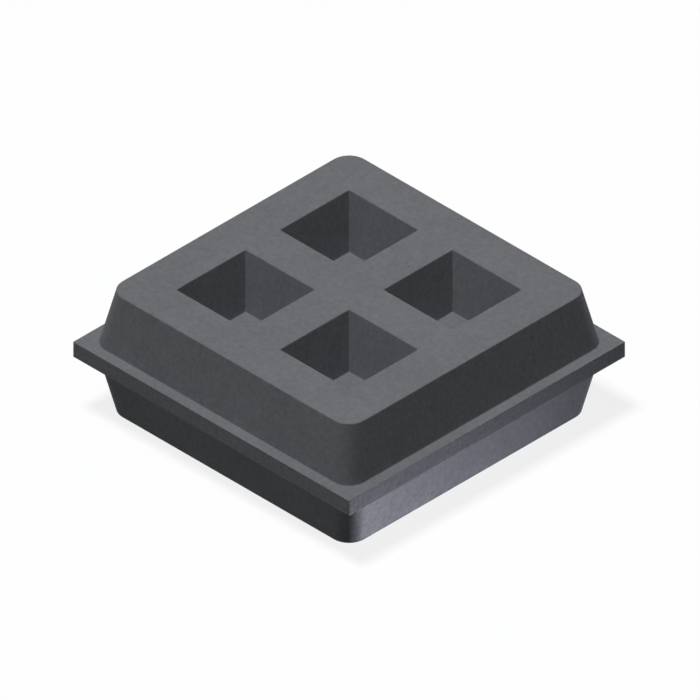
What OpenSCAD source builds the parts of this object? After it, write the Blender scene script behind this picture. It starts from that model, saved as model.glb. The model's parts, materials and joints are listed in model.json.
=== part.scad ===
// Anti-vibration machine pad: one moulded rubber waffle with square pockets in both faces.
// Millimetres, +Z up, origin at the centre of the underside.

/* [Waffle] */
// Pockets along each side of the pad
pockets_per_side = 2; // [1:1:4]
// Side of a square pocket at its mouth
pocket_mouth = 12.7; // [9:0.05:20]
// Width of an inner rib along its crest, between two pockets
rib_crest = 6.35; // [3:0.05:12]
// Width of the outer rim along its crest, between the pockets and the outer walls
rim_crest = 6.35; // [4:0.05:12]
// Lean of the moulded walls from the upright, in degrees
draft_angle = 10.8; // [1:0.1:14]

/* [Section] */
// Height from the underside to the top face
pad_height = 19.05; // [12:0.05:28]
// Thickness of the web that closes the pockets and stands out as the lip
web_thickness = 2.38; // [1:0.01:6]

/* [Outline] */
// How far the lip stands out from the foot of the outer walls
lip_width = 1.59; // [0.5:0.01:5]
// Radius of the round on the outer upright corners
corner_radius = 2.78; // [1:0.01:8]

/* [Hidden] */
$fn = 96;

// Each half of the waffle rises this far from the web
half_height = (pad_height - web_thickness) / 2;
// Each wall spreads this much from its crest to its root
wall_spread = half_height * tan(draft_angle);

pocket_pitch = pocket_mouth + rib_crest;
pocket_floor = pocket_mouth - 2 * wall_spread;
crest_side = pockets_per_side * pocket_pitch - rib_crest + 2 * rim_crest;
root_side = crest_side + 2 * wall_spread;
lip_side = root_side + 2 * lip_width;

// The corner round rolls along the slanted edge where two leaning walls meet
edge_lean = atan(sqrt(2) * tan(draft_angle));
round_half_span = acos(pow(sin(draft_angle), 2)) / 2;
// It stands proud of the two walls by this hair, so that it meets each of them in one clean line
round_proud = 0.002;
round_axis_inset = (corner_radius - round_proud) / cos(draft_angle);

// Cutting bodies run this far past the faces that they open
cut_clear = 1;

// A block with four walls that all lean by the draft: base_side at z = 0, top_side at z = height
module leaning_block(base_side, top_side, height) {
    section = [
        [-base_side / 2, 0],
        [base_side / 2, 0],
        [top_side / 2, height],
        [-top_side / 2, height]
    ];
    length = max(base_side, top_side) + 2 * cut_clear;
    intersection_for(turn = [0, 90])
        rotate([90, 0, turn])
            linear_extrude(height = length, center = true)
                polygon(section);
}

// What the round takes off one slanted corner; its axis passes axis_at half-way up the walls
module corner_trim() {
    reach = 2 * corner_radius;
    axis_at = (root_side - wall_spread) / 2 - round_axis_inset;
    translate([axis_at, axis_at, half_height / 2])
        rotate([0, -edge_lean, 45])
            linear_extrude(height = half_height + 2 * reach, center = true)
                difference() {
                    polygon([
                        [0, 0],
                        reach * [cos(round_half_span), -sin(round_half_span)],
                        [2 * reach, 0],
                        reach * [cos(round_half_span), sin(round_half_span)]
                    ]);
                    circle(r = corner_radius);
                }
}

// A pocket, open past the crest and closed by the web at z = 0
module pocket() {
    cut_height = half_height + cut_clear;
    leaning_block(pocket_floor, pocket_floor + 2 * cut_height * tan(draft_angle), cut_height);
}

// One half of the waffle, standing on z = 0 with its crest at half_height
module waffle_half() {
    first_pocket = -(pockets_per_side - 1) / 2 * pocket_pitch;
    difference() {
        leaning_block(root_side, crest_side, half_height);
        for (turn = [0 : 90 : 270])
            rotate(turn) corner_trim();
        for (column = [0 : pockets_per_side - 1], row = [0 : pockets_per_side - 1])
            translate([first_pocket + column * pocket_pitch, first_pocket + row * pocket_pitch, 0])
                pocket();
    }
}

// The flat web between the halves; its border is the lip, square where it was cut from the sheet
module web() {
    translate([-lip_side / 2, -lip_side / 2, -web_thickness / 2])
        cube([lip_side, lip_side, web_thickness]);
}

module pad() {
    color("dimgray")
        translate([0, 0, pad_height / 2]) {
            web();
            for (side = [0, 1])
                mirror([0, 0, side])
                    translate([0, 0, web_thickness / 2])
                        waffle_half();
        }
}

pad();
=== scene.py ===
import json
import math

import bmesh
import bpy
from mathutils import Matrix, Vector, noise


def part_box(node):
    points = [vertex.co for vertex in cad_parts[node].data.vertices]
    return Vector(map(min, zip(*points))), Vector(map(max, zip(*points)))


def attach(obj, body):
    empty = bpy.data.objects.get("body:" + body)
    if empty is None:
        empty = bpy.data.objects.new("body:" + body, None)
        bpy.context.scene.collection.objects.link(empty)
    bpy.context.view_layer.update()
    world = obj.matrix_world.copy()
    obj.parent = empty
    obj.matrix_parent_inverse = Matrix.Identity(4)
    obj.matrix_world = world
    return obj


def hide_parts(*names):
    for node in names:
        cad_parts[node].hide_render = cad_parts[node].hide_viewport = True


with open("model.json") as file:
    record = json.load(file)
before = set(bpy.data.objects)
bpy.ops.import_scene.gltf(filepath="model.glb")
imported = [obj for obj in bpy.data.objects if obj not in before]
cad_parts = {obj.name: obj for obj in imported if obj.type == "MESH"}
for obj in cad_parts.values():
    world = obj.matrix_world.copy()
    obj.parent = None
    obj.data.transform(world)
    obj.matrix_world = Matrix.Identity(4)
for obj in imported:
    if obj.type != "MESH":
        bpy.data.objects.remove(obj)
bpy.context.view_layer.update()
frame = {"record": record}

# The pad is one piece of neoprene, pressed in a two-part mould as a waffle with pockets in both faces.
# The web between its halves stands out round the middle as a lip, where each square is cut from the sheet.
# Nothing is fixed to it: a machine's foot rests on the upper crests, and the lower ones stand on the floor.

MM = 0.001

# Sizes of the moulding, between sharp edges
pad_low, pad_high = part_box("pad")
lip_half = (pad_high.x - pad_low.x) / 2
half_height = (pad_high.z - pad_low.z) / 2
web_half = 1.19 * MM
lip_width = 1.59 * MM
rib_half = 3.175 * MM
pocket_mouth_half = 6.35 * MM
wall_lean = math.radians(10.8)
corner_round = 2.78 * MM

wall_spread = (half_height - web_half) * math.tan(wall_lean)
root_half = lip_half - lip_width
crest_half = root_half - wall_spread
pocket_floor_half = pocket_mouth_half - wall_spread
pocket_centre = rib_half + pocket_mouth_half

# Small rounds that the mould leaves on its edges, and the keener ones of the cut lip
crest_edge_round = 0.16 * MM
root_fillet = 0.16 * MM
pocket_corner_round = 0.16 * MM
lip_edge_round = 0.03 * MM
lip_corner_round = 0.06 * MM

# Steps of the mesh: round an edge, down a wall, round an upright corner and along a side
edge_steps = 5
lip_edge_steps = 3
wall_steps = 5
lip_steps = 3
corner_steps = 12
side_steps = 40
pocket_corner_steps = 5
pocket_side_steps = 10

quarter_turn = math.pi / 2


def rounding(half, z, radius, start, end, steps):
    """Profile points along a round with its centre at (half, z), from one angle to the other."""
    points = []
    for step in range(steps + 1):
        angle = start + (end - start) * step / steps
        points.append((half + radius * math.cos(angle), z + radius * math.sin(angle)))
    return points


def between(start, end, steps):
    """Profile points that divide a straight run, without its two ends."""
    return [tuple(a + (b - a) * step / steps for a, b in zip(start, end)) for step in range(1, steps)]


def square_rings(mesh, centre, rows, arc_steps, straight_steps):
    """A closed ring of vertices for each row of half a side, height and corner round."""
    arc = [quarter_turn * step / arc_steps for step in range(arc_steps + 1)]
    rings = []
    for half, z, radius in rows:
        core = half - radius
        side = [(core + radius * math.cos(angle), core + radius * math.sin(angle)) for angle in arc]
        side += [(core - 2 * core * step / straight_steps, half) for step in range(1, straight_steps)]
        ring = []
        for quarter in range(4):
            turn = Matrix.Rotation(quarter * quarter_turn, 3, "Z")
            ring += [mesh.verts.new(centre + turn @ Vector((x, y, z))) for x, y in side]
        rings.append(ring)
    return rings


def loft(mesh, rings):
    """Four-sided faces from each ring to the next."""
    for upper, lower in zip(rings, rings[1:]):
        for index, corner in enumerate(upper):
            after = (index + 1) % len(upper)
            mesh.faces.new((corner, lower[index], lower[after], upper[after]))


def ring_edges(mesh, ring):
    """The edges that run along a ring."""
    return [mesh.edges.get((a, b)) for a, b in zip(ring, ring[1:] + ring[:1])]


# A round between a flat and a leaning wall starts this far from their sharp edge, for a radius of 1
tangent = math.tan((quarter_turn - wall_lean) / 2)

waffle = bmesh.new()
pad_middle = Vector()

# Outer skin of the upper half, from the crest's edge down the leaning wall to the lip's foot
crest = rounding(
    half=crest_half - tangent * crest_edge_round,
    z=half_height - crest_edge_round,
    radius=crest_edge_round,
    start=quarter_turn,
    end=wall_lean,
    steps=edge_steps,
)
root = rounding(
    half=root_half + tangent * root_fillet,
    z=web_half + root_fillet,
    radius=root_fillet,
    start=math.pi + wall_lean,
    end=3 * quarter_turn,
    steps=edge_steps,
)
wall_rows = [(half, z, corner_round + min(0, half - crest_half)) for half, z in crest]
wall_rows += [(half, z, corner_round) for half, z in between(crest[-1], root[0], wall_steps)]
wall_rows += [(half, z, corner_round + max(0, half - root_half)) for half, z in root]
wall_rings = square_rings(waffle, pad_middle, wall_rows, corner_steps, side_steps)

# The lip, cut square; the knife wanders inwards by a hair on its way round
cut_wander = 0.03 * MM
cut_wander_length = 4 * MM
lip_edge = rounding(
    half=lip_half - lip_edge_round,
    z=web_half - lip_edge_round,
    radius=lip_edge_round,
    start=quarter_turn,
    end=0,
    steps=lip_edge_steps,
)
lip_middle = (lip_half, 0)
lip_rows = [(half, z, lip_corner_round - lip_half + half) for half, z in lip_edge]
lip_rows += [(half, z, lip_corner_round) for half, z in between(lip_edge[-1], lip_middle, lip_steps)]
lip_rows.append((*lip_middle, lip_corner_round))
lip_rings = square_rings(waffle, pad_middle, lip_rows, corner_steps, side_steps)
for ring in lip_rings:
    for vertex in ring:
        outwards = Vector((vertex.co.x, vertex.co.y, 0))
        share = (1 + noise.noise(outwards / cut_wander_length)) / 2
        vertex.co -= outwards.normalized() * cut_wander * share
loft(waffle, wall_rings + lip_rings)

# The four pockets of the upper half, each from its mouth down to the web
mouth = rounding(
    half=pocket_mouth_half + tangent * crest_edge_round,
    z=half_height - crest_edge_round,
    radius=crest_edge_round,
    start=quarter_turn,
    end=math.pi - wall_lean,
    steps=edge_steps,
)
pocket_foot = rounding(
    half=pocket_floor_half - tangent * root_fillet,
    z=web_half + root_fillet,
    radius=root_fillet,
    start=-wall_lean,
    end=-quarter_turn,
    steps=edge_steps,
)
pocket_line = mouth + between(mouth[-1], pocket_foot[0], wall_steps) + pocket_foot
pocket_rows = [(half, z, pocket_corner_round + max(0, half - pocket_mouth_half)) for half, z in pocket_line]

crest_boundary = ring_edges(waffle, wall_rings[0])
for across in (-pocket_centre, pocket_centre):
    for along in (-pocket_centre, pocket_centre):
        centre = Vector((across, along, 0))
        pocket_rings = square_rings(waffle, centre, pocket_rows, pocket_corner_steps, pocket_side_steps)
        loft(waffle, pocket_rings)
        waffle.faces.new(pocket_rings[-1])
        crest_boundary += ring_edges(waffle, pocket_rings[0])

# The flat crest between the outer edge and the mouths, then the lower half as the upper one's mirror image
seam_weld = 0.001 * MM
bmesh.ops.triangle_fill(waffle, edges=crest_boundary, use_beauty=True)
upper_half = waffle.verts[:] + waffle.edges[:] + waffle.faces[:]
bmesh.ops.symmetrize(waffle, input=upper_half, direction="Z", dist=seam_weld)
bmesh.ops.translate(waffle, verts=waffle.verts, vec=(0, 0, pad_low.z + half_height))
bmesh.ops.recalc_face_normals(waffle, faces=waffle.faces)
for face in waffle.faces:
    face.smooth = True

pad_mesh = bpy.data.meshes.new("waffle_pad")
waffle.to_mesh(pad_mesh)
waffle.free()
pad = bpy.data.objects.new("waffle_pad", pad_mesh)
bpy.context.scene.collection.objects.link(pad)
flats_lead = pad.modifiers.new("flats_lead_the_shading", "WEIGHTED_NORMAL")
flats_lead.mode = "FACE_AREA"


class Value:
    """A shader socket that takes part in sums as a number does."""

    def __init__(self, finish, socket):
        self.finish = finish
        self.socket = socket

    def maths(self, operation, *terms):
        """The result of a Math node on this value and the terms."""
        return self.finish.node("Math", {"operation": operation}, dict(enumerate((self, *terms))))

    def __add__(self, other):
        return self.maths("ADD", other)

    __radd__ = __add__

    def __sub__(self, other):
        return self.maths("SUBTRACT", other)

    def __rsub__(self, other):
        return self * -1 + other

    def __mul__(self, other):
        return self.maths("MULTIPLY", other)

    __rmul__ = __mul__

    def __abs__(self):
        return self.maths("ABSOLUTE")


class Finish:
    """A node tree that is built up by calls, for a material or the world."""

    def __init__(self, owner):
        owner.use_nodes = True
        self.tree = owner.node_tree
        self.tree.nodes.clear()

    def node(self, kind, settings, sockets, output=None):
        """Add a node, its settings first, and give back the output that is named, or else the first one.

        Its sockets go by number, or by name among those in use.
        """
        made = self.tree.nodes.new("ShaderNode" + kind)
        for name, setting in settings.items():
            setattr(made, name, setting)
        in_use = {socket.name: socket for socket in made.inputs if socket.enabled}
        for name, value in sockets.items():
            socket = in_use[name] if isinstance(name, str) else made.inputs[name]
            if isinstance(value, Value):
                self.tree.links.new(value.socket, socket)
            else:
                socket.default_value = value
        results = [socket for socket in made.outputs if socket.enabled and output in (None, socket.name)]
        return Value(self, results[0]) if results else None


# Neoprene as it leaves the mould: matt dark grey with a fine grain, a little cloudy where the wax blooms.
# The leaning walls carry faint marks from being drawn out of the mould, and the lip has marks of the knife.
rubber_grey = Vector(frame["record"]["materials"][0]["base_color"])
grey_range = 0.49
rubber_dark = (*(rubber_grey * (1 - grey_range)), 1)
rubber_light = (*(rubber_grey * (1 + grey_range)), 1)

grain_per_mm = 1.5
clouds_per_mm = 0.13
draw_marks_per_mm = (2.2, 2.2, 0.12)
cut_marks_per_mm = (0.25, 0.25, 2.6)
cut_depth = 0.1 * MM

# How far each of them moves the grey, from dark at 0 to light at 1
middle_tone = 0.5
grain_tone = 0.60
cloud_tone = 0.35
mark_tone = 0.25

# How matt and how glossy the skin is, how far they change that, and how far they stand out from it
matt = 0.70
rubber_gloss = 0.12
cloud_matt = 0.25
grain_polish = 0.20
cut_matt = 0.15
relief_depth = 0.07 * MM
relief_strength = 0.6
mark_height = 0.6

rubber = bpy.data.materials.new("neoprene")
rubber_finish = Finish(rubber)
# A noise node's values lie about this one
noise_middle = 0.5


def specks(place, per_unit, detail, roughness):
    """Noise that lies evenly about 0."""
    sockets = {"Vector": place, "Scale": per_unit, "Detail": detail, "Roughness": roughness}
    return rubber_finish.node("TexNoise", {}, sockets) - noise_middle


def stretched(place, per_mm):
    """The place measured at its own scale along each axis, which draws noise out into marks."""
    return rubber_finish.node("VectorMath", {"operation": "MULTIPLY"}, {0: place, 1: per_mm})


place = rubber_finish.node("TexCoord", {}, {}, output="Object")
place_mm = rubber_finish.node("VectorMath", {"operation": "SCALE"}, {"Vector": place, "Scale": 1 / MM})
place_x = rubber_finish.node("SeparateXYZ", {}, {"Vector": place}, output="X")
place_y = rubber_finish.node("SeparateXYZ", {}, {"Vector": place}, output="Y")
facing = rubber_finish.node("NewGeometry", {}, {}, output="Normal")
facing_up = rubber_finish.node("SeparateXYZ", {}, {"Vector": facing}, output="Z")
on_walls = 1 - abs(facing_up)
out_from_middle = abs(place_x).maths("MAXIMUM", abs(place_y))
on_cut = out_from_middle.maths("GREATER_THAN", lip_half - cut_depth)

grain = specks(place_mm, grain_per_mm, detail=5.0, roughness=0.68)
clouds = specks(place_mm, clouds_per_mm, detail=5.0, roughness=0.55)
draw_marks = specks(stretched(place_mm, draw_marks_per_mm), 1.0, detail=3.0, roughness=0.5) * on_walls
cut_marks = specks(stretched(place_mm, cut_marks_per_mm), 1.0, detail=4.0, roughness=0.5) * on_cut
marks = draw_marks + cut_marks

tone = middle_tone + grain_tone * grain + cloud_tone * clouds + mark_tone * marks
colour = rubber_finish.node(
    "Mix", {"data_type": "RGBA"}, {"Factor": tone, "A": rubber_dark, "B": rubber_light}
)
relief = rubber_finish.node(
    "Bump",
    {},
    {"Strength": relief_strength, "Distance": relief_depth, "Height": grain + mark_height * marks},
)
skin = rubber_finish.node(
    "BsdfPrincipled",
    {},
    {
        "Base Color": colour,
        "Roughness": matt + cloud_matt * clouds - grain_polish * grain + cut_matt * cut_marks,
        "Specular IOR Level": rubber_gloss,
        "Normal": relief,
    },
)
rubber_finish.node("OutputMaterial", {}, {"Surface": skin})
pad.data.materials.append(rubber)

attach(pad, "root")
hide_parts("pad")

# The table is a plain sheet of white card, far wider than the view. Seen straight or by gloss it is white,
# with the pad's soft shadow on it. Light that bounces meets an even dim grey there, which keeps the shade.
white = (1, 1, 1, 1)
table_half = 4.0
table_glow = 0.80
table_fill = 0.03


def seen_share(finish):
    """1 where the camera looks, also by gloss or through a clear piece, and 0 for light that bounces."""
    straight = finish.node("LightPath", {}, {}, output="Is Camera Ray")
    by_gloss = finish.node("LightPath", {}, {}, output="Is Glossy Ray")
    through = finish.node("LightPath", {}, {}, output="Is Transmission Ray")
    return straight.maths("MAXIMUM", by_gloss).maths("MAXIMUM", through)


bpy.ops.mesh.primitive_plane_add(size=2 * table_half, location=(0, 0, pad_low.z))
table = bpy.context.object
table.name = "table"
card = bpy.data.materials.new("white_card")
card_finish = Finish(card)
lit = card_finish.node("BsdfDiffuse", {}, {"Color": white})
glow = card_finish.node("Emission", {}, {"Color": white, "Strength": 1.0})
fill = card_finish.node("Emission", {}, {"Color": white, "Strength": table_fill})
sheet = card_finish.node("MixShader", {}, {0: table_glow, 1: lit, 2: glow})
surface = card_finish.node("MixShader", {}, {0: seen_share(card_finish), 1: fill, 2: sheet})
card_finish.node("OutputMaterial", {}, {"Surface": surface})
table.data.materials.append(card)
# The lamps that stand lower than the table shine through it
table.visible_shadow = False

# A distant lamp almost overhead lights the pad and throws its shadow. Weaker ones on the left, on the right
# and low in front fill in, with no shadows of their own. A cold spot lamp under the table lifts the
# right-hand wall below the lip.
white_light = (1, 1, 1)
cool_light = (0.92, 0.96, 1)
cold_light = (0.84, 0.86, 1)


def aimed_lamp(name, kind, tint, energy, place, aim):
    """A lamp of the given kind at a place in metres, turned to shine at its aim."""
    lamp = bpy.data.lights.new(name, kind)
    lamp.color = tint
    lamp.energy = energy
    lamp_object = bpy.data.objects.new(name, lamp)
    lamp_object.location = place
    lamp_object.rotation_euler = (place - aim).to_track_quat("Z", "Y").to_euler()
    bpy.context.scene.collection.objects.link(lamp_object)
    return lamp


def distant_lamp(name, tint, energy, towards, spread, shadow=False):
    """A lamp far off on the given side of the pad, with its angle across in degrees."""
    lamp = aimed_lamp(name, "SUN", tint, energy, place=Vector(towards), aim=Vector())
    lamp.angle = math.radians(spread)
    lamp.use_shadow = shadow


distant_lamp("overhead", white_light, energy=2.21, towards=(-0.08, -0.175, 0.98), spread=14, shadow=True)
distant_lamp("left", cool_light, energy=0.50, towards=(-0.395, -0.615, 0.68), spread=20)
distant_lamp("right", cool_light, energy=0.66, towards=(0.325, 0.75, 0.575), spread=20)
distant_lamp("low_front", cool_light, energy=0.22, towards=(0.355, -0.355, -0.865), spread=20)

under_place = Vector((60, 60, -116)) * MM
under_aim = Vector((99, -107, -48)) * MM
under = aimed_lamp("under_table", "SPOT", cold_light, energy=2.45, place=under_place, aim=under_aim)
under.spot_size = math.radians(130.5)
under.spot_blend = 1.0
under.shadow_soft_size = 8 * MM

# The room stands for bare white walls all round. They are white where the camera or gloss sees them,
# and a low even light where they only fill the shade.
room_fill = 0.03
room = bpy.data.worlds.new("room")
bpy.context.scene.world = room
room_finish = Finish(room)
dim = room_finish.node("Background", {}, {"Color": white, "Strength": room_fill})
bright = room_finish.node("Background", {}, {"Color": white, "Strength": 1.0})
walls = room_finish.node("MixShader", {}, {0: seen_share(room_finish), 1: dim, 2: bright})
room_finish.node("OutputWorld", {}, {"Surface": walls})

# The camera takes a draughtsman's isometric view: it looks at one corner of the pad from above,
# with no perspective, at the slope that shows three faces alike.
photo_side_px = 700
photo_px_per_mm = 7.687
pad_centre_px = (349.1, 349.2)
view_azimuth = math.radians(45)
view_elevation = math.atan(math.sqrt(0.5))
view_distance = 0.5
nearest_seen = 0.01
farthest_seen = 20

back = Vector((
    math.sin(view_azimuth) * math.cos(view_elevation),
    -math.cos(view_azimuth) * math.cos(view_elevation),
    math.sin(view_elevation),
))
right = Vector((math.cos(view_azimuth), math.sin(view_azimuth), 0))
up = back.cross(right)
aim = (pad_low + pad_high) / 2
aim += right * (photo_side_px / 2 - pad_centre_px[0]) / photo_px_per_mm * MM
aim -= up * (photo_side_px / 2 - pad_centre_px[1]) / photo_px_per_mm * MM

lens = bpy.data.cameras.new("camera")
lens.type = "ORTHO"
lens.ortho_scale = photo_side_px / photo_px_per_mm * MM
lens.clip_start = nearest_seen
lens.clip_end = farthest_seen
camera = bpy.data.objects.new("camera", lens)
camera.location = aim + back * view_distance
camera.rotation_euler = back.to_track_quat("Z", "Y").to_euler()
bpy.context.scene.collection.objects.link(camera)
bpy.context.scene.camera = camera
bpy.context.scene.view_settings.view_transform = "Standard"
